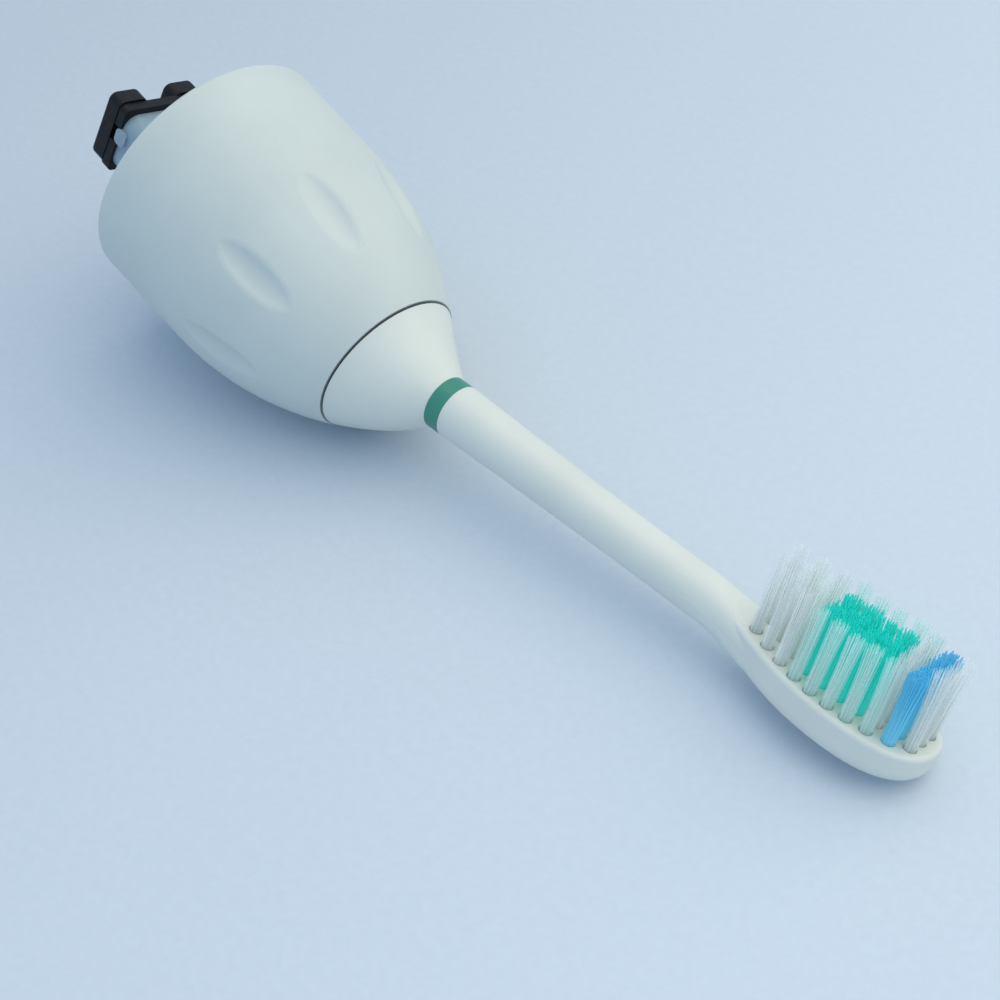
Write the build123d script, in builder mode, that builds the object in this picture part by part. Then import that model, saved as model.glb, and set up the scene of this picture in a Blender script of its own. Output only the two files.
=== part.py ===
from build123d import *
import os
from math import asin, cos, sin, sqrt

# Screw-on sonic toothbrush head, in millimetres.
# It is drawn in its own frame: X runs along the nut's axis from the mouth towards the neck,
# Z is the side that the bristles point to, and the origin is the centre of the nut's mouth.
# At the end every piece is laid down together on the surface where the head comes to rest.

# Retaining nut
MOUTH_RADIUS = 16.5
NUT_WALL = 2.3
NUT_LENGTH = 35.5
NUT_SHOULDER_X = 14.0
NUT_TAPER = 0.25
NUT_NOSE_RADIUS = 9.85
NUT_NOSE_LAND = 2.3
NUT_CAVITY_STRAIGHT = 5.8
NUT_WEB_X = 15.2
NUT_WEB_THICKNESS = 3.0
MOUTH_ROUND = 0.5
NOSE_ROUND = 0.12
MOUTH_LEAD_IN = 0.6

# Finger dimples round the nut
DIMPLE_COUNT = 8
DIMPLE_FIRST_ANGLE = -64.6
DIMPLE_X = 22.9
DIMPLE_HALF_LENGTH = 6.6
DIMPLE_TOOL_RADIUS = 3.2
DIMPLE_TOOL_SAG = 0.4
DIMPLE_DEPTH = 0.7
DIMPLE_EDGE_ROUND = 1.4

# Clearances
TURN_CLEARANCE = 0.3
SEAT_CLEARANCE = 0.05
PIN_CLEARANCE = 0.1
CLIP_CLEARANCE = 0.4
FLANGE_CLEARANCE = 0.5
FLANGE_AXIAL_CLEARANCE = 0.2
NOSE_GAP = 0.25
BASE_SWING_ROOM = 0.9
NOSE_SWING_ROOM = 1.6

# Pivot base that carries the torsion pin
BARREL_RADIUS = 11.3
BARREL_SETBACK = 0.5
FLANGE_THICKNESS = 2.6
BASE_NOSE_WALL = 1.3
BASE_FRONT_SETBACK = 3.2
KEY_NOTCH_WIDTH = 3.2
KEY_NOTCH_DEPTH = 1.4

# Clip that keeps the nut on the base, and the gasket behind the flange
CLIP_THICKNESS = 1.0
CLIP_GROOVE_DEPTH = 0.6
CLIP_LIP = 0.9
CLIP_OPENING = 5.0
GASKET_THICKNESS = 1.2
GASKET_WIDTH = 3.9
GASKET_SETBACK = 0.4

# Torsion pin
PIN_SPACING = 2.1
PIN_RADIUS = 1.0
PIN_CHAMFER = 0.25
PIN_SETBACK = 0.6

# Brush arm: shank, nose cone and neck
SHANK_RADIUS = 6.6
SHANK_REAR_SETBACK = 1.2
CONE_STEP = 0.25
CONE_LENGTH = 8.35
CONE_BULGE = 0.15
CONE_DROP = 0.35
NECK_ORIGIN_Z = 2.4
NECK_TILT = 12.1
RING_X = 0.8
RING_WIDTH = 2.15
RING_RADIUS = 3.32
RING_THICKNESS = 0.62
NECK_MIDDLE_X = 14.0
NECK_MIDDLE_RADIUS = 3.06
NECK_LENGTH = 42.0
NECK_ROUND_BACK = 3.2
NECK_END_RADIUS = 2.77

# The neck's last stretch, which flattens and sinks into the head, with its lengths from the neck's end
ROUND_FLAT = 0.03
FADE_START_BACK = 1.2
FADE_START_RADIUS = 2.755
FADE_MIDDLE_RUN = 2.6
FADE_MIDDLE_HALF_WIDTH = 2.78
FADE_MIDDLE_RISE = 0.65
FADE_MIDDLE_HEIGHT = 4.85
FADE_MIDDLE_CORNER = 2.1
FADE_FLUSH_RUN = 5.4
FADE_FLUSH_HALF_WIDTH = 3.22
FADE_FLUSH_SINK = 0.02
FADE_FLUSH_HEIGHT = 4.22
FADE_FLUSH_CORNER = 1.6
FADE_END_RUN = 9.0
FADE_END_HALF_WIDTH = 3.85
FADE_END_SINK = 0.25
FADE_END_HEIGHT = 3.8
FADE_END_CORNER = 1.6

# Brush head, in a frame of its own that starts near the neck's, with its lengths from the neck's end
HEAD_RAISE = 0.87
HEAD_SAG = 0.5
FACE_HEIGHT = 1.0
HEAD_REAR_RUN = 3.0
HEAD_REAR_INSET = 0.57
HEAD_REAR_BACK = 3.15
HEAD_REAR_FLARE = 0.3
HEAD_REAR_SLOPE = 0.04
HEEL_RUN = 4.9
HEAD_FLARE_RUN = 8.95
HEAD_FLARE_HALF_WIDTH = 4.28
HEAD_WIDE_RUN = 18.0
HEAD_HALF_WIDTH = 5.75
HEAD_LENGTH = 28.4
HEAD_BACK = 3.4
HEAD_BACK_RUN = 16.0
HEAD_TIP_BACK = 1.9
HEAD_TIP_SLOPE = 0.35
HEAD_LONG_EDGE = 8.0
BACK_ROUND = 1.7
FACE_ROUND = 0.5
SKETCH_MARGIN = 1.5

# Tufts
TUFT_RADIUS = 0.74
TUFT_PITCH = 2.15
ROW_PITCH = 2.29
HOLE_DEPTH = 2.6
HEEL_MARGIN = 1.2
TOE_MARGIN = 2.1
TOE_ROW_GAP = 1.88
SIDE_MARGIN = 1.35
FIELD_SETBACK = 0.5
FIELD_HEEL_MARGIN = 2.45
FIELD_TOE_MARGIN = 0.85
TRIM_HEIGHT = 9.8
TRIM_RISE = 1.2
TRIM_SETBACK = 1.5
TRIM_REACH = 11.0
CENTRE_SHORTER = 0.8
INDICATOR_SHORTER = 0.9
HEEL_ROW_COUNT = 3
ANCHOR_HEIGHT = 1.2
ANCHOR_THICKNESS = 0.35

# Seal between the shank and the base
SEAL_THICKNESS = 1.2
SEAL_WIDTH = 1.4
SEAL_SETBACK = 0.5

# Drive lever behind the pivot
TONGUE_WIDTH = 7.0
TONGUE_HEIGHT = 6.0
TONGUE_LENGTH = 15.0
TONGUE_ROUND = 0.8
LEVER_NECK_REAR_X = 4.0
BLOCK_FRONT_X = -2.0
BLOCK_LENGTH = 8.2
BLOCK_WIDTH = 12.0
BLOCK_TOP = 1.6
BLOCK_BOTTOM = -6.5
BLOCK_CORNER = 1.9
TAB_LENGTH = 1.3
TAB_SETBACK = 0.7
TAB_HEIGHT = 2.1
TAB_Z = -1.45
TAB_THICKNESS = 0.6
TAB_ROUND = 0.6

# Back iron and the two drive magnets
IRON_THICKNESS = 1.3
IRON_SIDE_OVERHANG = 0.4
IRON_TOP_OVERHANG = 0.9
IRON_BOTTOM_OVERHANG = 0.5
IRON_CORNER = 0.9
MAGNET_THICKNESS = 2.3
MAGNET_GAP = 4.0
MAGNET_SIDE_OVERHANG = 0.1
MAGNET_TOP_OVERHANG = 0.3
MAGNET_BOTTOM_SETBACK = 0.25
MAGNET_CORNER = 1.1
MAGNET_EDGE_ROUND = 0.45

# Rest: the nut lies across the dimple that is this many after the first
REST_DIMPLE_COUNT = 5
REST_STEP_COUNT = 24
STEEPEST_REST_ANGLE = 45.0

# Places and sizes that follow from those above
MOUTH_BORE_RADIUS = MOUTH_RADIUS - NUT_WALL
NUT_SHOULDER_RADIUS = MOUTH_RADIUS - NUT_TAPER
NUT_WEB_BORE_RADIUS = BARREL_RADIUS + TURN_CLEARANCE
NUT_WEB_FRONT_X = NUT_WEB_X + NUT_WEB_THICKNESS
NUT_CAVITY_FRONT_X = NUT_WEB_FRONT_X + NUT_CAVITY_STRAIGHT
NUT_NOSE_BORE_RADIUS = SHANK_RADIUS + NOSE_SWING_ROOM
NUT_NOSE_REAR_X = NUT_LENGTH - NUT_NOSE_LAND
CLIP_RADIUS = BARREL_RADIUS + CLIP_LIP
CLIP_SEAT_RADIUS = BARREL_RADIUS - CLIP_GROOVE_DEPTH
CLIP_X = NUT_WEB_FRONT_X + FLANGE_AXIAL_CLEARANCE
NUT_CAVITY_RADIUS = CLIP_RADIUS + CLIP_CLEARANCE
FLANGE_RADIUS = MOUTH_BORE_RADIUS - FLANGE_CLEARANCE
FLANGE_FRONT_X = NUT_WEB_X - FLANGE_AXIAL_CLEARANCE
FLANGE_REAR_X = FLANGE_FRONT_X - FLANGE_THICKNESS
GASKET_RADIUS = FLANGE_RADIUS - GASKET_SETBACK
GASKET_BORE_RADIUS = GASKET_RADIUS - GASKET_WIDTH
BARREL_FRONT_X = NUT_CAVITY_FRONT_X - BARREL_SETBACK
BASE_FRONT_X = NUT_NOSE_REAR_X - BASE_FRONT_SETBACK
BASE_BORE_RADIUS = SHANK_RADIUS + BASE_SWING_ROOM
BASE_NOSE_RADIUS = BASE_BORE_RADIUS + BASE_NOSE_WALL
PIN_X = CLIP_X + CLIP_THICKNESS + PIN_SPACING
SHANK_REAR_X = FLANGE_REAR_X + SHANK_REAR_SETBACK
SEAL_RADIUS = SHANK_RADIUS + SEAL_WIDTH
CONE_REAR_X = NUT_LENGTH + NOSE_GAP
CONE_REAR_RADIUS = NUT_NOSE_RADIUS - CONE_STEP
NECK_ORIGIN_X = CONE_REAR_X + CONE_LENGTH
NECK_ROOT_X = RING_X + RING_WIDTH
NECK_END_X = NECK_LENGTH - NECK_ROUND_BACK
RING_CORE_RADIUS = RING_RADIUS - RING_THICKNESS
HEAD_REAR_HALF_WIDTH = NECK_END_RADIUS - HEAD_REAR_INSET
HEEL_X = NECK_LENGTH + HEEL_RUN
HEAD_REAR_X = NECK_LENGTH + HEAD_REAR_RUN
HEAD_FLARE_X = NECK_LENGTH + HEAD_FLARE_RUN
HEAD_WIDE_X = NECK_LENGTH + HEAD_WIDE_RUN
HEAD_BACK_X = NECK_LENGTH + HEAD_BACK_RUN
HEAD_TIP_X = NECK_LENGTH + HEAD_LENGTH
HOLE_RADIUS = TUFT_RADIUS + SEAT_CLEARANCE
HEEL_ROW_X = HEEL_X + HEEL_MARGIN
TOE_ROW_X = HEAD_TIP_X - TOE_MARGIN
ROW_SPAN = TOE_ROW_X - TOE_ROW_GAP - HEEL_ROW_X
ROW_GAPS = round(ROW_SPAN / ROW_PITCH)
INDICATOR_ROW = ROW_GAPS
GUARD_ROW = INDICATOR_ROW - 1
FIELD_HALF_WIDTH = HEAD_HALF_WIDTH - SIDE_MARGIN
FIELD_WIDE_X = HEAD_WIDE_X - FIELD_SETBACK
FIELD_HEEL_REACH = FIELD_WIDE_X - HEEL_ROW_X + FIELD_HEEL_MARGIN
FIELD_TOE_REACH = TOE_ROW_X - FIELD_WIDE_X + FIELD_TOE_MARGIN
TRIM_LOW_X = HEAD_WIDE_X - TRIM_SETBACK
BLOCK_REAR_X = BLOCK_FRONT_X - BLOCK_LENGTH
IRON_REAR_X = BLOCK_REAR_X - IRON_THICKNESS
IRON_WIDTH = BLOCK_WIDTH + 2 * IRON_SIDE_OVERHANG
IRON_TOP = BLOCK_TOP + IRON_TOP_OVERHANG
IRON_BOTTOM = BLOCK_BOTTOM - IRON_BOTTOM_OVERHANG
MAGNET_WIDTH = IRON_WIDTH / 2 + MAGNET_SIDE_OVERHANG - MAGNET_GAP / 2
MAGNET_TOP = IRON_TOP + MAGNET_TOP_OVERHANG
MAGNET_BOTTOM = IRON_BOTTOM + MAGNET_BOTTOM_SETBACK


def placed(frame, plane):
    """A plane carried into a frame of its own."""
    return Plane(frame * plane.location)


NECK = Pos(NECK_ORIGIN_X, 0, NECK_ORIGIN_Z) * Rot(0, -NECK_TILT, 0)
NECK_SIDE = placed(NECK, Plane.XZ)
NECK_AXIS = Axis(NECK_SIDE.origin, NECK_SIDE.x_dir)
HEAD = Pos(NECK_ORIGIN_X, 0, NECK_ORIGIN_Z + HEAD_RAISE) * Rot(0, HEAD_SAG - NECK_TILT, 0)
HEAD_SIDE = placed(HEAD, Plane.XZ)
FACE = placed(HEAD, Plane.XY.offset(FACE_HEIGHT))


def neck_station(x):
    """Plane square to the neck at a distance along it."""
    return placed(NECK, Plane.YZ.offset(x))


def head_station(x):
    """Plane square to the head at a distance along it."""
    return placed(HEAD, Plane.YZ.offset(x))


# Sections of the neck's last stretch: plane, top, half width, height and corner
FADE_SECTIONS = [
    (neck_station(NECK_END_X), NECK_END_RADIUS, NECK_END_RADIUS,
     2 * NECK_END_RADIUS, NECK_END_RADIUS - ROUND_FLAT),
    (neck_station(NECK_LENGTH - FADE_START_BACK), FADE_START_RADIUS, FADE_START_RADIUS,
     2 * FADE_START_RADIUS, FADE_START_RADIUS - ROUND_FLAT),
    (head_station(NECK_LENGTH + FADE_MIDDLE_RUN), FACE_HEIGHT + FADE_MIDDLE_RISE, FADE_MIDDLE_HALF_WIDTH,
     FADE_MIDDLE_HEIGHT, FADE_MIDDLE_CORNER),
    (head_station(NECK_LENGTH + FADE_FLUSH_RUN), FACE_HEIGHT - FADE_FLUSH_SINK, FADE_FLUSH_HALF_WIDTH,
     FADE_FLUSH_HEIGHT, FADE_FLUSH_CORNER),
    (head_station(NECK_LENGTH + FADE_END_RUN), FACE_HEIGHT - FADE_END_SINK, FADE_END_HALF_WIDTH,
     FADE_END_HEIGHT, FADE_END_CORNER),
]

# Section halfway along the nose cone, which bends from the nut's axis to the neck's
CONE_FRONT = neck_station(RING_X).origin
CONE_MIDDLE = placed(
    Pos((CONE_REAR_X + CONE_FRONT.X) / 2, 0, CONE_FRONT.Z / 2 - CONE_DROP) * Rot(0, -NECK_TILT / 2, 0),
    Plane.YZ,
)


with BuildPart() as retaining_nut:
    with BuildSketch(Plane.XZ):
        with BuildLine():
            barrel = Line((0, MOUTH_RADIUS), (NUT_SHOULDER_X, NUT_SHOULDER_RADIUS))
            crown = TangentArc(barrel @ 1, (NUT_LENGTH, NUT_NOSE_RADIUS), tangent=barrel % 1)
            Polyline(
                crown @ 1,
                (NUT_LENGTH, NUT_NOSE_BORE_RADIUS),
                (NUT_NOSE_REAR_X, NUT_NOSE_BORE_RADIUS),
                (NUT_CAVITY_FRONT_X, NUT_CAVITY_RADIUS),
                (NUT_WEB_FRONT_X, NUT_CAVITY_RADIUS),
                (NUT_WEB_FRONT_X, NUT_WEB_BORE_RADIUS),
                (NUT_WEB_X, NUT_WEB_BORE_RADIUS),
                (NUT_WEB_X, MOUTH_BORE_RADIUS),
                (MOUTH_LEAD_IN, MOUTH_BORE_RADIUS),
                (0, MOUTH_BORE_RADIUS + MOUTH_LEAD_IN),
                barrel @ 0,
            )
        make_face()
    revolve(axis=Axis.X)

    ends = retaining_nut.edges().filter_by(GeomType.CIRCLE).group_by(Axis.X)
    fillet(ends[0].sort_by(SortBy.RADIUS)[-1], MOUTH_ROUND)
    fillet(ends[-1].sort_by(SortBy.RADIUS)[-1], NOSE_ROUND)

    # Centre of the crown's arc, from its start, its tangent there and its end
    shoulder = Vector(NUT_SHOULDER_X, NUT_SHOULDER_RADIUS)
    along = (shoulder - Vector(0, MOUTH_RADIUS)).normalized()
    inward = Vector(along.Y, -along.X)
    chord = Vector(NUT_LENGTH, NUT_NOSE_RADIUS) - shoulder
    crown_radius = chord.dot(chord) / (2 * chord.dot(inward))
    crown_centre = shoulder + inward * crown_radius
    dimple_tilt = asin((DIMPLE_X - crown_centre.X) / crown_radius)
    tool_reach = crown_radius + DIMPLE_TOOL_RADIUS - DIMPLE_DEPTH
    tool_place = Plane(
        origin=(DIMPLE_X + (tool_reach - crown_radius) * sin(dimple_tilt), 0,
                crown_centre.Y + tool_reach * cos(dimple_tilt)),
        x_dir=(cos(dimple_tilt), 0, -sin(dimple_tilt)),
        z_dir=(0, -1, 0),
    )
    plain_edges = retaining_nut.edges()
    for k in range(DIMPLE_COUNT):
        turn = DIMPLE_FIRST_ANGLE + k * 360 / DIMPLE_COUNT
        tool = placed(Rot(-turn, 0, 0), tool_place)
        end_radius = DIMPLE_TOOL_RADIUS - DIMPLE_TOOL_SAG
        with BuildSketch(tool):
            with BuildLine():
                belly = ThreePointArc(
                    (-DIMPLE_HALF_LENGTH, end_radius),
                    (0, DIMPLE_TOOL_RADIUS),
                    (DIMPLE_HALF_LENGTH, end_radius),
                )
                Polyline(belly @ 1, (DIMPLE_HALF_LENGTH, 0), (-DIMPLE_HALF_LENGTH, 0), belly @ 0)
            make_face()
        revolve(axis=Axis(tool.origin, tool.x_dir), mode=Mode.SUBTRACT)
    dimple_edges = [edge for edge in retaining_nut.edges() if edge not in plain_edges]
    fillet(dimple_edges, DIMPLE_EDGE_ROUND)

with BuildPart() as pivot_base:
    with BuildSketch(Plane.XZ):
        with BuildLine():
            Polyline(
                (FLANGE_REAR_X, BASE_BORE_RADIUS),
                (FLANGE_REAR_X, FLANGE_RADIUS),
                (FLANGE_FRONT_X, FLANGE_RADIUS),
                (FLANGE_FRONT_X, BARREL_RADIUS),
                (CLIP_X, BARREL_RADIUS),
                (CLIP_X, CLIP_SEAT_RADIUS),
                (CLIP_X + CLIP_THICKNESS, CLIP_SEAT_RADIUS),
                (CLIP_X + CLIP_THICKNESS, BARREL_RADIUS),
                (BARREL_FRONT_X, BARREL_RADIUS),
                (BASE_FRONT_X, BASE_NOSE_RADIUS),
                (BASE_FRONT_X, BASE_BORE_RADIUS),
                close=True,
            )
        make_face()
    revolve(axis=Axis.X)
    with BuildSketch(Plane.XY):
        with Locations((PIN_X, 0)):
            Circle(PIN_RADIUS + SEAT_CLEARANCE)
    extrude(amount=BARREL_RADIUS, both=True, mode=Mode.SUBTRACT)
    with BuildSketch(Plane.YZ.offset(FLANGE_REAR_X)):
        with Locations((FLANGE_RADIUS, 0), (-FLANGE_RADIUS, 0)):
            Rectangle(2 * KEY_NOTCH_DEPTH, KEY_NOTCH_WIDTH)
    extrude(amount=FLANGE_THICKNESS, mode=Mode.SUBTRACT)

with BuildPart() as retaining_clip:
    with BuildSketch(Plane.YZ.offset(CLIP_X)):
        Circle(CLIP_RADIUS)
        Circle(CLIP_SEAT_RADIUS + SEAT_CLEARANCE, mode=Mode.SUBTRACT)
        with Locations((CLIP_RADIUS, 0)):
            Rectangle(2 * (CLIP_RADIUS - CLIP_SEAT_RADIUS) + CLIP_OPENING, CLIP_OPENING, mode=Mode.SUBTRACT)
    extrude(amount=CLIP_THICKNESS)

with BuildPart() as face_gasket:
    with BuildSketch(Plane.YZ.offset(FLANGE_REAR_X)):
        Circle(GASKET_RADIUS)
        Circle(GASKET_BORE_RADIUS, mode=Mode.SUBTRACT)
    extrude(amount=-GASKET_THICKNESS)

with BuildPart() as torsion_pin:
    with BuildSketch(Plane.XY):
        with Locations((PIN_X, 0)):
            Circle(PIN_RADIUS)
    extrude(amount=BARREL_RADIUS - PIN_SETBACK, both=True)
    chamfer(torsion_pin.faces().filter_by(GeomType.PLANE).edges(), PIN_CHAMFER)


def tuft_rows():
    """Tuft places on the face, row by row from heel to toe."""
    stations = [HEEL_ROW_X + ROW_SPAN * i / ROW_GAPS for i in range(ROW_GAPS + 1)] + [TOE_ROW_X]
    rows = []
    for x in stations:
        if x < FIELD_WIDE_X:
            share = 1 - ((FIELD_WIDE_X - x) / FIELD_HEEL_REACH) ** 2
        else:
            share = sqrt(1 - ((x - FIELD_WIDE_X) / FIELD_TOE_REACH) ** 2)
        half = FIELD_HALF_WIDTH * share
        gaps = max(1, round(2 * half / TUFT_PITCH))
        rows.append([(x, half * (2 * k / gaps - 1)) for k in range(gaps + 1)])
    return rows


ROWS = tuft_rows()
MIDDLE_ROWS = ROWS[HEEL_ROW_COUNT:GUARD_ROW]
SIDE_ROWS = ROWS[HEEL_ROW_COUNT:INDICATOR_ROW]
TUFT_GROUPS = {
    "heel_tufts": [place for row in ROWS[:HEEL_ROW_COUNT] for place in row],
    "right_edge_tufts": [row[0] for row in SIDE_ROWS],
    "left_edge_tufts": [row[-1] for row in SIDE_ROWS],
    "centre_tufts": [place for row in MIDDLE_ROWS for place in row[1:-1]],
    "guard_tufts": ROWS[GUARD_ROW][1:-1],
    "indicator_tufts": ROWS[INDICATOR_ROW],
    "toe_tufts": ROWS[-1],
}
TUFT_SHORTER = {"centre_tufts": CENTRE_SHORTER, "indicator_tufts": INDICATOR_SHORTER}
TUFT_PLACES = [place for row in ROWS for place in row]
HOLE_FLOOR = FACE.offset(-HOLE_DEPTH)
TUFT_FOOT = FACE.offset(ANCHOR_HEIGHT - HOLE_DEPTH)


def trim_height(x):
    """Height of the trimmed bristle ends over the neck's axis."""
    return TRIM_HEIGHT + TRIM_RISE * ((x - TRIM_LOW_X) / TRIM_REACH) ** 2


def long_edges(part):
    """Edges that run the length of the head."""
    return [edge for edge in part.edges() if edge.length > HEAD_LONG_EDGE]


def over_face(edge):
    """Height of an edge's middle over the face that the tufts stand on."""
    return FACE.to_local_coords(edge.center()).Z


with BuildPart() as brush_arm:
    # Head: its plan outline cut to its side outline, with a rounded back
    with BuildSketch(FACE):
        with BuildLine():
            near = Spline(
                (HEAD_REAR_X, -HEAD_REAR_HALF_WIDTH),
                (HEAD_FLARE_X, -HEAD_FLARE_HALF_WIDTH),
                (HEAD_WIDE_X, -HEAD_HALF_WIDTH),
                (HEAD_TIP_X, 0),
                tangents=[(1, -HEAD_REAR_FLARE), (0, 1)],
            )
            mirror(near, about=Plane.XZ)
            Line(near @ 0, (HEAD_REAR_X, HEAD_REAR_HALF_WIDTH))
        make_face()
    extrude(amount=-FACE_HEIGHT - 2 * HEAD_BACK)
    with BuildSketch(HEAD_SIDE.offset(-2 * HEAD_HALF_WIDTH)):
        with BuildLine():
            back = Spline(
                (HEAD_REAR_X, -HEAD_REAR_BACK),
                (HEAD_BACK_X, -HEAD_BACK),
                (HEAD_TIP_X + SKETCH_MARGIN, -HEAD_TIP_BACK),
                tangents=[(1, -HEAD_REAR_SLOPE), (1, HEAD_TIP_SLOPE)],
            )
            Polyline(
                back @ 1,
                (HEAD_TIP_X + SKETCH_MARGIN, FACE_HEIGHT + SKETCH_MARGIN),
                (HEAD_REAR_X - SKETCH_MARGIN, FACE_HEIGHT + SKETCH_MARGIN),
                (HEAD_REAR_X - SKETCH_MARGIN, -HEAD_REAR_BACK),
                back @ 0,
            )
        make_face()
    extrude(amount=4 * HEAD_HALF_WIDTH, mode=Mode.INTERSECT)
    fillet([edge for edge in long_edges(brush_arm) if over_face(edge) < -FACE_HEIGHT], BACK_ROUND)
    fillet([edge for edge in long_edges(brush_arm) if over_face(edge) > -FACE_ROUND / 2], FACE_ROUND)

    # Neck, ring core, nose cone and shank
    with BuildSketch(NECK_SIDE):
        with BuildLine():
            sweep_in = Spline(
                (NECK_ROOT_X, RING_RADIUS),
                (NECK_MIDDLE_X, NECK_MIDDLE_RADIUS),
                (NECK_END_X, NECK_END_RADIUS),
            )
            Polyline(sweep_in @ 1, (NECK_END_X, 0), (NECK_ROOT_X, 0), sweep_in @ 0)
        make_face()
    revolve(axis=NECK_AXIS)
    with BuildSketch(neck_station(RING_X)):
        Circle(RING_CORE_RADIUS)
    extrude(amount=RING_WIDTH)
    with BuildSketch(Plane.YZ.offset(CONE_REAR_X)):
        Circle(CONE_REAR_RADIUS)
    with BuildSketch(CONE_MIDDLE):
        Circle((CONE_REAR_RADIUS + RING_RADIUS) / 2 + CONE_BULGE)
    with BuildSketch(neck_station(RING_X)):
        Circle(RING_RADIUS)
    loft()
    with BuildSketch(Plane.YZ.offset(SHANK_REAR_X)):
        Circle(SHANK_RADIUS)
    extrude(amount=CONE_REAR_X - SHANK_REAR_X)

    # The neck's end flattens and sinks into the face, and the tufts' sockets start from there
    for station, top, half_width, height, corner in FADE_SECTIONS:
        with BuildSketch(station):
            with Locations((0, top - height / 2)):
                RectangleRounded(2 * half_width, height, corner)
    loft()
    with BuildSketch(FACE):
        with Locations(*TUFT_PLACES):
            Circle(HOLE_RADIUS)
    extrude(amount=-HOLE_DEPTH, mode=Mode.SUBTRACT)
    with BuildSketch(Plane.YZ.offset(SHANK_REAR_X)):
        pocket_width = TONGUE_WIDTH + 2 * SEAT_CLEARANCE
        pocket_height = TONGUE_HEIGHT + 2 * SEAT_CLEARANCE
        RectangleRounded(pocket_width, pocket_height, TONGUE_ROUND)
    extrude(amount=TONGUE_LENGTH, mode=Mode.SUBTRACT)
    with BuildSketch(Plane.XY):
        with Locations((PIN_X, 0)):
            Circle(PIN_RADIUS + PIN_CLEARANCE)
    extrude(amount=2 * SHANK_RADIUS, both=True, mode=Mode.SUBTRACT)

with BuildPart() as colour_ring:
    with BuildSketch(neck_station(RING_X)):
        Circle(RING_RADIUS)
        Circle(RING_CORE_RADIUS + SEAT_CLEARANCE, mode=Mode.SUBTRACT)
    extrude(amount=RING_WIDTH)

with BuildPart() as seal_boot:
    with BuildSketch(Plane.YZ.offset(BASE_FRONT_X + SEAL_SETBACK)):
        Circle(SEAL_RADIUS)
        Circle(SHANK_RADIUS + SEAT_CLEARANCE, mode=Mode.SUBTRACT)
    extrude(amount=SEAL_THICKNESS)

with BuildPart() as lever_block:
    with BuildSketch(Plane.YZ.offset(LEVER_NECK_REAR_X)):
        RectangleRounded(TONGUE_WIDTH, TONGUE_HEIGHT, TONGUE_ROUND)
    extrude(amount=SHANK_REAR_X + TONGUE_LENGTH - LEVER_NECK_REAR_X)
    block_height = BLOCK_TOP - BLOCK_BOTTOM
    block_middle = (BLOCK_TOP + BLOCK_BOTTOM) / 2
    with BuildSketch(Plane.YZ.offset(LEVER_NECK_REAR_X)):
        RectangleRounded(TONGUE_WIDTH, TONGUE_HEIGHT, TONGUE_ROUND)
    with BuildSketch(Plane.YZ.offset(BLOCK_FRONT_X)):
        with Locations((0, block_middle)):
            RectangleRounded(BLOCK_WIDTH, block_height, BLOCK_CORNER)
    loft()
    with BuildSketch(Plane.YZ.offset(BLOCK_FRONT_X)):
        with Locations((0, block_middle)):
            RectangleRounded(BLOCK_WIDTH, block_height, BLOCK_CORNER)
    extrude(amount=BLOCK_REAR_X - BLOCK_FRONT_X)
    with BuildSketch(Plane.XY):
        with Locations((PIN_X, 0)):
            Circle(PIN_RADIUS + PIN_CLEARANCE)
    extrude(amount=2 * SHANK_RADIUS, both=True, mode=Mode.SUBTRACT)
    tab_length = IRON_THICKNESS - TAB_SETBACK + TAB_LENGTH
    for side in (1, -1):
        with BuildSketch(Plane.XZ.offset(side * (IRON_WIDTH / 2 - TAB_THICKNESS))):
            with Locations((IRON_REAR_X + TAB_SETBACK + tab_length / 2, TAB_Z)):
                RectangleRounded(tab_length, TAB_HEIGHT, TAB_ROUND)
        extrude(amount=side * TAB_THICKNESS)

with BuildPart() as back_iron:
    with BuildSketch(Plane.YZ.offset(IRON_REAR_X)):
        with Locations((0, (IRON_TOP + IRON_BOTTOM) / 2)):
            RectangleRounded(IRON_WIDTH, IRON_TOP - IRON_BOTTOM, IRON_CORNER)
        with Locations((IRON_WIDTH / 2, TAB_Z), (-IRON_WIDTH / 2, TAB_Z)):
            notch_width = 2 * (TAB_THICKNESS + SEAT_CLEARANCE)
            Rectangle(notch_width, TAB_HEIGHT + 2 * SEAT_CLEARANCE, mode=Mode.SUBTRACT)
    extrude(amount=IRON_THICKNESS)


def drive_magnet(side):
    """One magnet on the rear of the back iron, on the side given by its sign."""
    middle = side * (MAGNET_GAP + MAGNET_WIDTH) / 2
    with BuildPart() as magnet:
        with BuildSketch(Plane.YZ.offset(IRON_REAR_X)):
            with Locations((middle, (MAGNET_TOP + MAGNET_BOTTOM) / 2)):
                RectangleRounded(MAGNET_WIDTH, MAGNET_TOP - MAGNET_BOTTOM, MAGNET_CORNER)
        extrude(amount=-MAGNET_THICKNESS)
        fillet(magnet.faces().sort_by(Axis.X)[0].edges(), MAGNET_EDGE_ROUND)
    return magnet


def tuft_group(name):
    """Separate tufts of one colour and place, each standing on its anchor."""
    with BuildPart() as group:
        for x, y in TUFT_GROUPS[name]:
            top = trim_height(x) - TUFT_SHORTER.get(name, 0)
            with BuildSketch(TUFT_FOOT):
                with Locations((x, y)):
                    Circle(TUFT_RADIUS)
            extrude(amount=top - FACE_HEIGHT + HOLE_DEPTH - ANCHOR_HEIGHT)
    return group


with BuildPart() as tuft_anchors:
    with BuildSketch(HOLE_FLOOR):
        with Locations(*TUFT_PLACES):
            Rectangle(2 * TUFT_RADIUS, ANCHOR_THICKNESS)
    extrude(amount=ANCHOR_HEIGHT)

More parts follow.
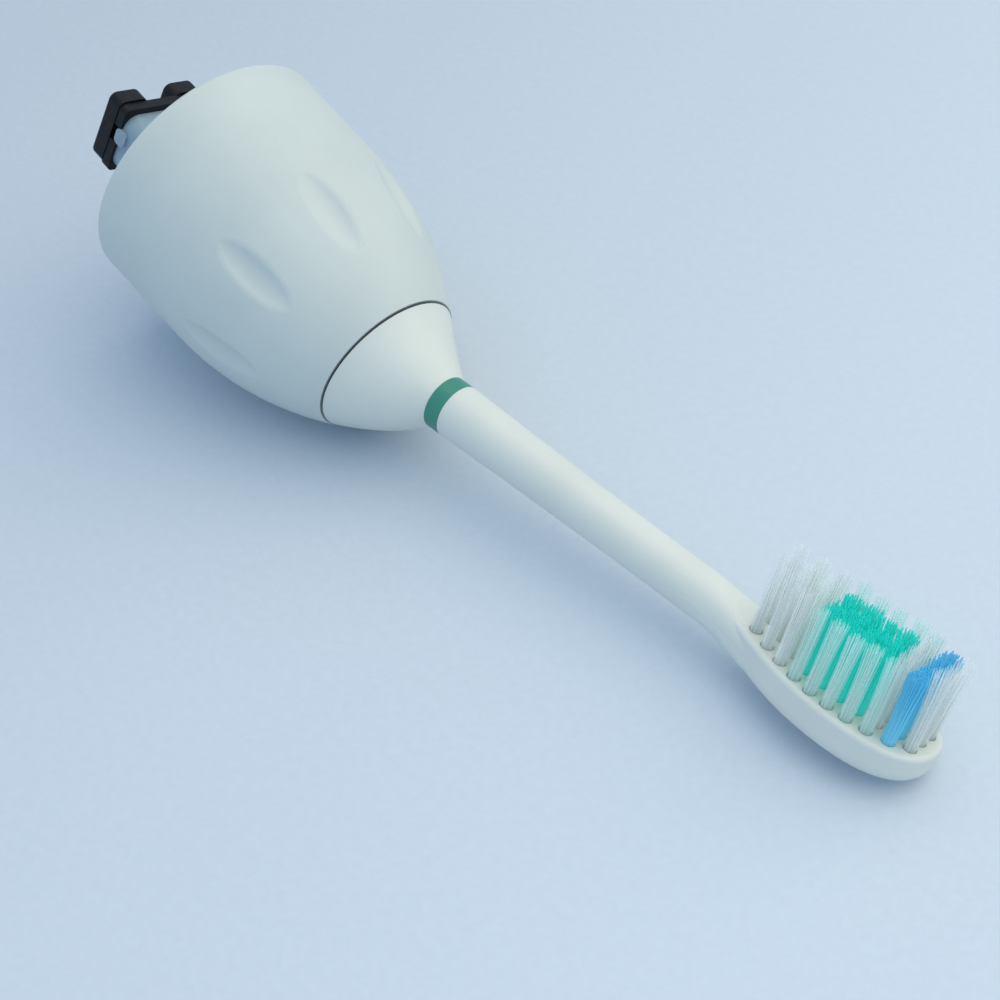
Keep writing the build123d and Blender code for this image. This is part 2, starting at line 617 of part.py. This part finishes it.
PIECES = {
    "retaining_nut": retaining_nut,
    "retaining_clip": retaining_clip,
    "face_gasket": face_gasket,
    "pivot_base": pivot_base,
    "torsion_pin": torsion_pin,
    "seal_boot": seal_boot,
    "brush_arm": brush_arm,
    "colour_ring": colour_ring,
    "lever_block": lever_block,
    "back_iron": back_iron,
    "left_magnet": drive_magnet(1),
    "right_magnet": drive_magnet(-1),
    "tuft_anchors": tuft_anchors,
}
for name in TUFT_GROUPS:
    PIECES[name] = tuft_group(name)


def lying(pitch):
    """Frame of the brush turned onto one dimple and nosed down by an angle."""
    roll = DIMPLE_FIRST_ANGLE + REST_DIMPLE_COUNT * 360 / DIMPLE_COUNT - 180
    return Rot(0, pitch, 0) * Rot(roll, 0, 0)


def head_drop(pitch):
    """Height of the head's lowest point over the nut's, at an angle."""
    head = (lying(pitch) * brush_arm.part).bounding_box().min.Z
    return head - (lying(pitch) * retaining_nut.part).bounding_box().min.Z


# The head rests where the nut and the head's back touch the same surface
low = 0.0
high = STEEPEST_REST_ANGLE
for step in range(REST_STEP_COUNT):
    middle = (low + high) / 2
    if head_drop(middle) > 0:
        low = middle
    else:
        high = middle
box = Compound([lying(low) * piece.part for piece in PIECES.values()]).bounding_box()
REST = Pos(-box.center().X, -box.center().Y, -box.min.Z) * lying(low)

os.makedirs("parts", exist_ok=True)
for name, piece in PIECES.items():
    piece.part.move(REST)
    piece.part.label = name
    export_step(piece.part, f"parts/{name}.step")
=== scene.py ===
import math
import random

import bmesh
import bpy
from mathutils import Matrix, Vector


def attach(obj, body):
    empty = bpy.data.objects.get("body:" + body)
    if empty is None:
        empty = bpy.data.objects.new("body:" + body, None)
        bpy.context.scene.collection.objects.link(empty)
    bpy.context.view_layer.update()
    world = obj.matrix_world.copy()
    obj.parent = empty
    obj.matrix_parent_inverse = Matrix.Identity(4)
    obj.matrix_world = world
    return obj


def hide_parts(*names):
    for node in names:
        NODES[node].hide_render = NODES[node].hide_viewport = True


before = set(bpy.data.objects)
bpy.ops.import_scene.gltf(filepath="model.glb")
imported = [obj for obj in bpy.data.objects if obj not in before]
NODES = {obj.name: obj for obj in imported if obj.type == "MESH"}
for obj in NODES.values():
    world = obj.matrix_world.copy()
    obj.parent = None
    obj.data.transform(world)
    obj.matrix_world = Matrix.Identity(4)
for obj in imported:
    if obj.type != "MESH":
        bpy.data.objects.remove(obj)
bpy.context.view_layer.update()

SCENE = bpy.context.scene
MM = 0.001

# The brush frame: X along the nut's axis from its mouth, Z towards the bristles
PITCH = math.radians(17.042558)
ROLL = math.radians(-19.6)
MOUTH = Vector((-0.0487422, 0.0, 0.0211536))
TURN = Matrix.Rotation(PITCH, 4, "Y") @ Matrix.Rotation(ROLL, 4, "X")
BRUSH = Matrix.Translation(MOUTH) @ TURN
NUT_AXIS = BRUSH.to_3x3() @ Vector((1, 0, 0))

# The head's frame: X along the head, Z along the bristles
HEAD_TILT = math.radians(11.6)
HEAD_PLACE = (0.0441, 0, 0.00327)
HEAD = BRUSH @ Matrix.Translation(HEAD_PLACE) @ Matrix.Rotation(-HEAD_TILT, 4, "Y")
HEAD_INVERSE = HEAD.inverted()
FACE_HEIGHT = 1.0 * MM

# Painted shade that darkens the gap between the nut and the cone, along the nut's axis
GAP_MIDDLE = 35.625 * MM
GAP_HALF_WIDTH = 0.127 * MM
GAP_SHADE_TONE = 0.42


def srgb(r, g, b):
    """Linear colour from 8-bit sRGB values."""
    values = []
    for value in (r, g, b):
        value = value / 255
        values.append(value / 12.92 if value <= 0.04045 else ((value + 0.055) / 1.055) ** 2.4)
    return (*values, 1.0)


def shade(colour, factor):
    """The same colour, lighter or darker."""
    return (*(min(1, value * factor) for value in colour[:3]), 1.0)


class Nodes:
    """A material's node tree, with short calls for what every material here uses."""

    def __init__(self, name):
        self.material = bpy.data.materials.new(name)
        self.material.use_nodes = True
        self.tree = self.material.node_tree
        self.shader = self.tree.nodes["Principled BSDF"]
        self.place = self.tree.nodes.new("ShaderNodeTexCoord").outputs["Object"]

    def link(self, source, target):
        """Link one socket to another."""
        self.tree.links.new(source, target)

    def feed(self, name, source):
        """Link a source to one of the shader's sockets."""
        self.link(source, self.shader.inputs[name])

    def set(self, **values):
        """Plain values on the shader's own sockets."""
        for name, value in values.items():
            self.shader.inputs[name.replace("_", " ")].default_value = value

    def noise(self, scale, detail, roughness=0.55, stretch=None):
        """Noise at a scale in features per metre."""
        node = self.tree.nodes.new("ShaderNodeTexNoise")
        node.inputs["Scale"].default_value = scale
        node.inputs["Detail"].default_value = detail
        node.inputs["Roughness"].default_value = roughness
        place = self.place
        if stretch:
            mapping = self.tree.nodes.new("ShaderNodeMapping")
            mapping.inputs["Scale"].default_value = stretch
            self.link(place, mapping.inputs["Vector"])
            place = mapping.outputs["Vector"]
        self.link(place, node.inputs["Vector"])
        return node.outputs["Fac"]

    def maths(self, operation, first, second, third):
        """A sum on a socket and two plain numbers."""
        node = self.tree.nodes.new("ShaderNodeMath")
        node.operation = operation
        self.link(first, node.inputs[0])
        node.inputs[1].default_value = second
        node.inputs[2].default_value = third
        return node.outputs["Value"]

    def vector(self, operation, first, second, output="Value"):
        """A vector sum on a socket and a plain vector."""
        node = self.tree.nodes.new("ShaderNodeVectorMath")
        node.operation = operation
        self.link(first, node.inputs[0])
        node.inputs[1].default_value = second
        return node.outputs[output]

    def band(self, middle, half_width):
        """One inside a slice across the nut's axis, nought outside it."""
        from_mouth = self.vector("SUBTRACT", self.place, MOUTH, output="Vector")
        along = self.vector("DOT_PRODUCT", from_mouth, NUT_AXIS)
        return self.maths("COMPARE", along, middle, half_width)

    def ramp(self, factor, low, high, start=0.3, end=0.7):
        """Colours between two places on a factor."""
        node = self.tree.nodes.new("ShaderNodeValToRGB")
        first, last = node.color_ramp.elements
        first.position = start
        last.position = end
        first.color = low
        last.color = high
        self.link(factor, node.inputs["Fac"])
        return node.outputs["Color"]

    def grey_ramp(self, factor, low, high, start=0.3, end=0.7):
        """Greys between two places on a factor."""
        return self.ramp(factor, (low, low, low, 1), (high, high, high, 1), start, end)

    def mix(self, factor, first, second):
        """The second colour over the first, by a linked factor."""
        node = self.tree.nodes.new("ShaderNodeMix")
        node.data_type = "RGBA"
        self.link(factor, node.inputs["Factor"])
        self.link(first, node.inputs["A"])
        self.link(second, node.inputs["B"])
        return node.outputs["Result"]

    def multiply(self, first, second):
        """The product of two colours."""
        node = self.tree.nodes.new("ShaderNodeMix")
        node.data_type = "RGBA"
        node.blend_type = "MULTIPLY"
        node.inputs["Factor"].default_value = 1.0
        self.link(first, node.inputs["A"])
        self.link(second, node.inputs["B"])
        return node.outputs["Result"]

    def bump(self, height, strength, distance):
        """Surface relief, added to any that is there already."""
        node = self.tree.nodes.new("ShaderNodeBump")
        node.inputs["Strength"].default_value = strength
        node.inputs["Distance"].default_value = distance
        self.link(height, node.inputs["Height"])
        normal = self.shader.inputs["Normal"]
        if normal.is_linked:
            self.link(normal.links[0].from_socket, node.inputs["Normal"])
        self.link(node.outputs["Normal"], normal)


def moulded(name, colour, roughness, mottle=0.03, grain=0.05):
    """Satin moulded plastic: faint clouding, a fine spark-eroded grain and small scuffs, with painted
    shade in the gap between the nut and the cone.
    """
    gloss_change = 0.08
    look = Nodes(name)
    cloud = look.noise(scale=90, detail=4)
    speck = look.noise(scale=2600, detail=2)
    scuff = look.noise(scale=700, detail=5, roughness=0.7, stretch=(1.0, 3.0, 3.0))
    tone = look.ramp(cloud, shade(colour, 1 - mottle), shade(colour, 1 + mottle))
    dust = look.grey_ramp(speck, 1.0, 0.9, start=0.66, end=0.8)
    # Painted shade: the walls of the gap between the nut and the cone are darkened
    painted_gap_shade = look.grey_ramp(look.band(GAP_MIDDLE, GAP_HALF_WIDTH), 1.0, GAP_SHADE_TONE, start=0.0, end=1.0)
    look.feed("Base Color", look.multiply(look.multiply(tone, dust), painted_gap_shade))
    look.feed("Roughness", look.grey_ramp(scuff, roughness - gloss_change, roughness + gloss_change))
    look.bump(look.noise(scale=5200, detail=3), strength=grain, distance=0.04 * MM)
    look.bump(look.noise(scale=120, detail=2), strength=0.04, distance=0.4 * MM)
    return look


def coated(name, colour):
    """Thin dark coating on metal: soft gloss, faint mottling and fine pitting."""
    look = Nodes(name)
    mottle = look.noise(scale=420, detail=4)
    smear = look.noise(scale=1500, detail=4, roughness=0.65)
    look.feed("Base Color", look.ramp(mottle, shade(colour, 0.75), shade(colour, 1.3)))
    look.feed("Roughness", look.grey_ramp(smear, 0.4, 0.62))
    look.bump(look.noise(scale=3800, detail=4), strength=0.12, distance=0.04 * MM)
    look.set(Specular_IOR_Level=0.25, Coat_Weight=0.05, Coat_Roughness=0.35)
    return look


def drawn_metal(name, colour, roughness):
    """Drawn wire or sheet: metallic, with fine lines along the draw."""
    gloss_change = 0.08
    look = Nodes(name)
    lines = look.noise(scale=2600, detail=3, roughness=0.6, stretch=(0.15, 1.0, 1.0))
    look.feed("Base Color", look.ramp(lines, shade(colour, 0.85), shade(colour, 1.1)))
    look.feed("Roughness", look.grey_ramp(lines, roughness - gloss_change, roughness + gloss_change))
    look.bump(lines, strength=0.1, distance=0.03 * MM)
    look.set(Metallic=1.0)
    return look


def bristle(name, root, tip, alpha, painted_glow):
    """Nylon filaments, from root to tip. The emission is painted light, standing in for light passed on
    inside a bundle.
    """
    look = Nodes(name)
    layer = look.tree.nodes.new("ShaderNodeVertexColor")
    layer.layer_name = "along"
    split = look.tree.nodes.new("ShaderNodeSeparateColor")
    look.link(layer.outputs["Color"], split.inputs["Color"])
    share = split.outputs["Red"]
    filament = split.outputs["Green"]
    along = look.ramp(share, root, tip, start=0.15, end=0.9)
    each = look.grey_ramp(filament, 0.86, 1.08, start=0.0, end=1.0)
    look.feed("Base Color", look.multiply(along, each))
    look.feed("Roughness", look.grey_ramp(filament, 0.3, 0.46, start=0.0, end=1.0))
    look.set(Alpha=alpha, IOR=1.53, Specular_IOR_Level=0.3)
    # Painted light: the filaments emit light of their own, though they are no lamp
    look.set(Emission_Color=(*painted_glow, 1), Emission_Strength=1.0)
    return look


# Materials
collar = moulded("collar_plastic", srgb(199, 209, 205), 0.45)
collar.set(IOR=1.5, Subsurface_Weight=0.06)
collar.set(Subsurface_Radius=(0.004, 0.004, 0.004), Subsurface_Scale=0.5)
arm = moulded("arm_plastic", srgb(215, 221, 213), 0.42)
arm.set(IOR=1.5, Subsurface_Weight=0.08)
arm.set(Subsurface_Radius=(0.004, 0.004, 0.003), Subsurface_Scale=0.5)
lever = moulded("lever_plastic", srgb(183, 213, 230), 0.4)
lever.set(IOR=1.45, Transmission_Weight=0.45, Subsurface_Weight=0.3)
lever.set(Subsurface_Radius=(0.003, 0.003, 0.004), Subsurface_Scale=1.0)
inner = moulded("inner_plastic", srgb(214, 219, 220), 0.5)
ring = moulded("ring_plastic", srgb(54, 136, 116), 0.38, mottle=0.08)
rubber = moulded("seal_rubber", srgb(88, 94, 102), 0.7, mottle=0.06, grain=0.12)
magnet = coated("coated_magnet", srgb(7, 11, 14))
iron = coated("coated_iron", srgb(11, 14, 18))
steel = drawn_metal("spring_steel", (0.6, 0.6, 0.62, 1), 0.3)
anchor = drawn_metal("anchor_metal", (0.72, 0.6, 0.36, 1), 0.35)
white_bristle = bristle(
    "white_bristle", srgb(240, 246, 247), srgb(246, 250, 251), 0.25, painted_glow=(0.085, 0.105, 0.095)
)
# The edge tufts are white filaments with a teal tint in base colour and emission: painted light passed on
# from the green tufts beside them
edge_bristle = bristle(
    "edge_bristle", srgb(226, 244, 240), srgb(222, 246, 243), 0.23, painted_glow=(0.065, 0.122, 0.114)
)
green_bristle = bristle(
    "green_bristle", srgb(110, 225, 208), srgb(40, 215, 200), 0.7, painted_glow=(0.003, 0.14, 0.14)
)
blue_bristle = bristle(
    "blue_bristle", srgb(130, 205, 240), srgb(85, 182, 235), 0.7, painted_glow=(0.025, 0.12, 0.115)
)

CAD_MATERIALS = {
    "retaining_nut": collar,
    "retaining_clip": steel,
    "face_gasket": rubber,
    "pivot_base": inner,
    "torsion_pin": steel,
    "seal_boot": rubber,
    "brush_arm": arm,
    "colour_ring": ring,
    "lever_block": lever,
    "back_iron": iron,
    "left_magnet": magnet,
    "right_magnet": magnet,
    "tuft_anchors": anchor,
}
for name, look in CAD_MATERIALS.items():
    mesh = NODES[name].data
    mesh.materials.clear()
    mesh.materials.append(look.material)


def mesh_object(name, mesh, look):
    """An object from a finished bmesh, with its material."""
    data = bpy.data.meshes.new(name)
    mesh.to_mesh(data)
    mesh.free()
    data.materials.append(look.material)
    piece = bpy.data.objects.new(name, data)
    SCENE.collection.objects.link(piece)
    return piece


# Tufts: each solid of a tuft node becomes a bundle of nylon filaments
FILAMENT_SIDES = 5
FILAMENT_STEPS = 6
FOOT_DEPTH = 0.9 * MM
ROOT_SWELL = 1.1
END_ROUNDING_START = 0.988
END_ROUNDING = 0.55
END_SPREAD = 1.02
END_UNEVEN = 0.07 * MM
STRAY = 0.05 * MM
FAN_CHANGE = 0.2
GOLDEN_ANGLE = math.pi * (3 - math.sqrt(5))
MERGE_DISTANCE = 1e-7


def connected_groups(mesh):
    """The vertices of a mesh, in groups that edges join."""
    left = set(mesh.verts)
    while left:
        group = [left.pop()]
        for vert in group:
            for edge in vert.link_edges:
                other = edge.other_vert(vert)
                if other in left:
                    left.remove(other)
                    group.append(other)
        yield group


def tuft_solids(node):
    """Centre, radius and top of each solid of a tuft node, in the head's frame."""
    found = []
    mesh = bmesh.new()
    mesh.from_mesh(NODES[node].data)
    bmesh.ops.remove_doubles(mesh, verts=mesh.verts, dist=MERGE_DISTANCE)
    for group in connected_groups(mesh):
        places = [HEAD_INVERSE @ vert.co for vert in group]
        low_x, high_x = min(p.x for p in places), max(p.x for p in places)
        low_y, high_y = min(p.y for p in places), max(p.y for p in places)
        top = max(p.z for p in places)
        found.append(((low_x + high_x) / 2, (low_y + high_y) / 2, (high_x - low_x) / 2, top))
    mesh.free()
    return sorted(found)


def add_filament(mesh, layer, foot, top, bend, thickness, tone):
    """One filament from its foot to its rounded end."""
    axis = (top - foot).normalized()
    side = axis.orthogonal().normalized()
    other = axis.cross(side)
    stations = [k / FILAMENT_STEPS for k in range(FILAMENT_STEPS + 1)]
    radii = [1.0 + ROOT_SWELL * (1 - share) ** 2 for share in stations]
    stations[-1:] = [END_ROUNDING_START, 1.0]
    radii.append(END_ROUNDING)
    rings = []
    for share, size in zip(stations, radii):
        middle = foot.lerp(top, share) + bend * (share * share)
        loop = []
        for k in range(FILAMENT_SIDES):
            turn = 2 * math.pi * k / FILAMENT_SIDES
            offset = (side * math.cos(turn) + other * math.sin(turn)) * (thickness * size)
            vert = mesh.verts.new(HEAD @ (middle + offset))
            vert[layer] = (share, tone, 0.0, 1.0)
            loop.append(vert)
        rings.append(loop)
    for low, high in zip(rings, rings[1:]):
        for k in range(FILAMENT_SIDES):
            n = (k + 1) % FILAMENT_SIDES
            mesh.faces.new((low[k], low[n], high[n], high[k])).smooth = True
    mesh.faces.new(rings[-1])
    mesh.faces.new(list(reversed(rings[0])))


def tuft_piece(node, look, slot, count, thickness, flare, lean, seed):
    """All the tufts of one node as filaments, fanned a little towards their ends."""
    rng = random.Random(seed)
    mesh = bmesh.new()
    layer = mesh.verts.layers.float_color.new("along")
    for x, y, radius, top in tuft_solids(node):
        reach = radius - thickness
        tuft_lean = Vector((rng.gauss(0, lean), rng.gauss(0, lean), 0))
        fan = flare * rng.uniform(1 - FAN_CHANGE, 1 + FAN_CHANGE)
        for k in range(count):
            out = reach * math.sqrt((k + 0.5) / count)
            turn = k * GOLDEN_ANGLE
            spot = Vector((math.cos(turn), math.sin(turn), 0)) * out
            foot = Vector((x, y, FACE_HEIGHT - FOOT_DEPTH)) + spot
            end = Vector((x, y, top - abs(rng.gauss(0, END_UNEVEN)))) + spot * END_SPREAD
            bend = spot * fan + tuft_lean + Vector((rng.gauss(0, STRAY), rng.gauss(0, STRAY), 0))
            add_filament(mesh, layer, foot, end, bend, thickness, rng.random())
    piece = mesh_object(node + "_filaments", mesh, look)
    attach(piece, "arm")
    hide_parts(node)


# Material, slot, filaments in a tuft and their radius, then how far a tuft fans and leans
WHITE = (white_bristle, "white_bristle", 30, 0.056 * MM)
EDGE = (edge_bristle, "white_bristle", 30, 0.056 * MM)
GREEN = (green_bristle, "green_bristle", 46, 0.08 * MM)
BLUE = (blue_bristle, "blue_bristle", 50, 0.085 * MM)
TUFTS = {
    "heel_tufts": (*WHITE, 0.35, 0.15 * MM),
    "right_edge_tufts": (*EDGE, 0.35, 0.15 * MM),
    "left_edge_tufts": (*EDGE, 0.35, 0.15 * MM),
    "centre_tufts": (*GREEN, 0.8, 0.25 * MM),
    "guard_tufts": (*WHITE, 0.35, 0.15 * MM),
    "indicator_tufts": (*BLUE, 0.8, 0.15 * MM),
    "toe_tufts": (*WHITE, 0.5, 0.15 * MM),
}
FIRST_SEED = 11
for seed, (node, values) in enumerate(TUFTS.items(), FIRST_SEED):
    tuft_piece(node, *values, seed)

# Thread ridge inside the nut's mouth
THREAD_ROOT = 14.25 * MM
THREAD_CREST = 13.5 * MM
THREAD_START = 2.0 * MM
THREAD_PITCH = 3.0 * MM
THREAD_TURNS = 2.5
THREAD_STEPS = 240
THREAD_RUNOUT = 0.06
THREAD_LEAST_RISE = 0.02
THREAD_FOOT = 0.75 * MM
THREAD_TOP = 0.3 * MM


def thread_section(mesh, share):
    """The ridge's four corners at a share of its length."""
    turn = share * THREAD_TURNS * 2 * math.pi
    rise = min(1.0, share / THREAD_RUNOUT, (1 - share) / THREAD_RUNOUT)
    crest = THREAD_ROOT + (THREAD_CREST - THREAD_ROOT) * max(rise, THREAD_LEAST_RISE)
    middle = THREAD_START + THREAD_PITCH * turn / (2 * math.pi)
    profile = (
        (-THREAD_FOOT, THREAD_ROOT), (-THREAD_TOP, crest), (THREAD_TOP, crest), (THREAD_FOOT, THREAD_ROOT)
    )
    corners = []
    for offset, radius in profile:
        place = Vector((middle + offset, radius * math.cos(turn), radius * math.sin(turn)))
        corners.append(mesh.verts.new(BRUSH @ place))
    return corners


thread_mesh = bmesh.new()
sections = [thread_section(thread_mesh, step / THREAD_STEPS) for step in range(THREAD_STEPS + 1)]
for low, high in zip(sections, sections[1:]):
    for k in range(len(low)):
        n = (k + 1) % len(low)
        thread_mesh.faces.new((low[k], low[n], high[n], high[k]))
thread_mesh.faces.new(list(reversed(sections[0])))
thread_mesh.faces.new(sections[-1])
bmesh.ops.recalc_face_normals(thread_mesh, faces=thread_mesh.faces)
thread = mesh_object("nut_thread", thread_mesh, collar)
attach(thread, "nut")

# Floor: pale blue paper, with painted shade that dims it to one side, and painted light that whitens it
# far off, where the lamp hardly reaches
FLOOR_HALF_SIZE = 3.0
SIDE_SHADE_WAY = (0.99, 0.14, 0.0)
SIDE_SHADE_RATE = 4.0
SIDE_SHADE_TONE = 0.82
POOL_CENTRE = (0.08, 0.12, 0.0)
POOL_INSIDE = 0.25
POOL_OUTSIDE = 1.0

paper = Nodes("floor_paper")
fibre = paper.noise(scale=900, detail=6, roughness=0.65)
# Painted shade: the paper darkens towards one side, as the lamp's light falls away there
across = paper.maths("MULTIPLY_ADD", paper.vector("DOT_PRODUCT", paper.place, SIDE_SHADE_WAY), SIDE_SHADE_RATE, 0.5)
painted_side_shade = paper.grey_ramp(across, SIDE_SHADE_TONE, 1.0, start=0.0, end=0.75)
near_tone = paper.multiply(paper.ramp(fibre, srgb(203, 215, 226), srgb(208, 220, 231)), painted_side_shade)
# Painted light: far from the lamp the paper turns whiter, making up for the light that does not reach it
far_painted_light = paper.ramp(fibre, srgb(249, 252, 253), srgb(253, 254, 255))
distance = paper.vector("DISTANCE", paper.place, POOL_CENTRE)
painted_light_spread = paper.grey_ramp(distance, 0.0, 1.0, start=POOL_INSIDE, end=POOL_OUTSIDE)
paper.feed("Base Color", paper.mix(painted_light_spread, near_tone, far_painted_light))
paper.set(Roughness=0.9, Specular_IOR_Level=0.2)
paper.bump(paper.noise(scale=2500, detail=5), strength=0.1, distance=0.05 * MM)
floor_mesh = bmesh.new()
bmesh.ops.create_grid(floor_mesh, x_segments=1, y_segments=1, size=FLOOR_HALF_SIZE)
floor = mesh_object("floor", floor_mesh, paper)

# Light: one large soft lamp that faces the object, and an even sky
KEY_PLACE = Vector((0.15, 0.24, 0.52))
key = bpy.data.lights.new("key_lamp", "AREA")
key.shape = "SQUARE"
key.size = 1.0
key.energy = 3.43
key.color = (1.0, 0.83, 0.52)
lamp = bpy.data.objects.new("key_lamp", key)
lamp.location = KEY_PLACE
lamp.rotation_euler = (-KEY_PLACE).to_track_quat("-Z", "Y").to_euler()
SCENE.collection.objects.link(lamp)

world = bpy.data.worlds.new("studio")
world.use_nodes = True
sky = world.node_tree.nodes["Background"]
sky.inputs["Color"].default_value = (0.585, 0.756, 1.0, 1)
sky.inputs["Strength"].default_value = 0.85
SCENE.world = world

# Camera, at the photograph's viewpoint
CAMERA_PLACE = (0.13587047, -0.10204702, 0.1614078)
CAMERA_TURN = (46.139725, 2.788615, 49.359943)
lens = bpy.data.cameras.new("camera")
lens.sensor_width = 36.0
lens.lens = 72.0
lens.clip_start = 0.01
camera = bpy.data.objects.new("camera", lens)
camera.location = CAMERA_PLACE
camera.rotation_euler = [math.radians(angle) for angle in CAMERA_TURN]
SCENE.collection.objects.link(camera)
SCENE.camera = camera
SCENE.view_settings.view_transform = "Standard"
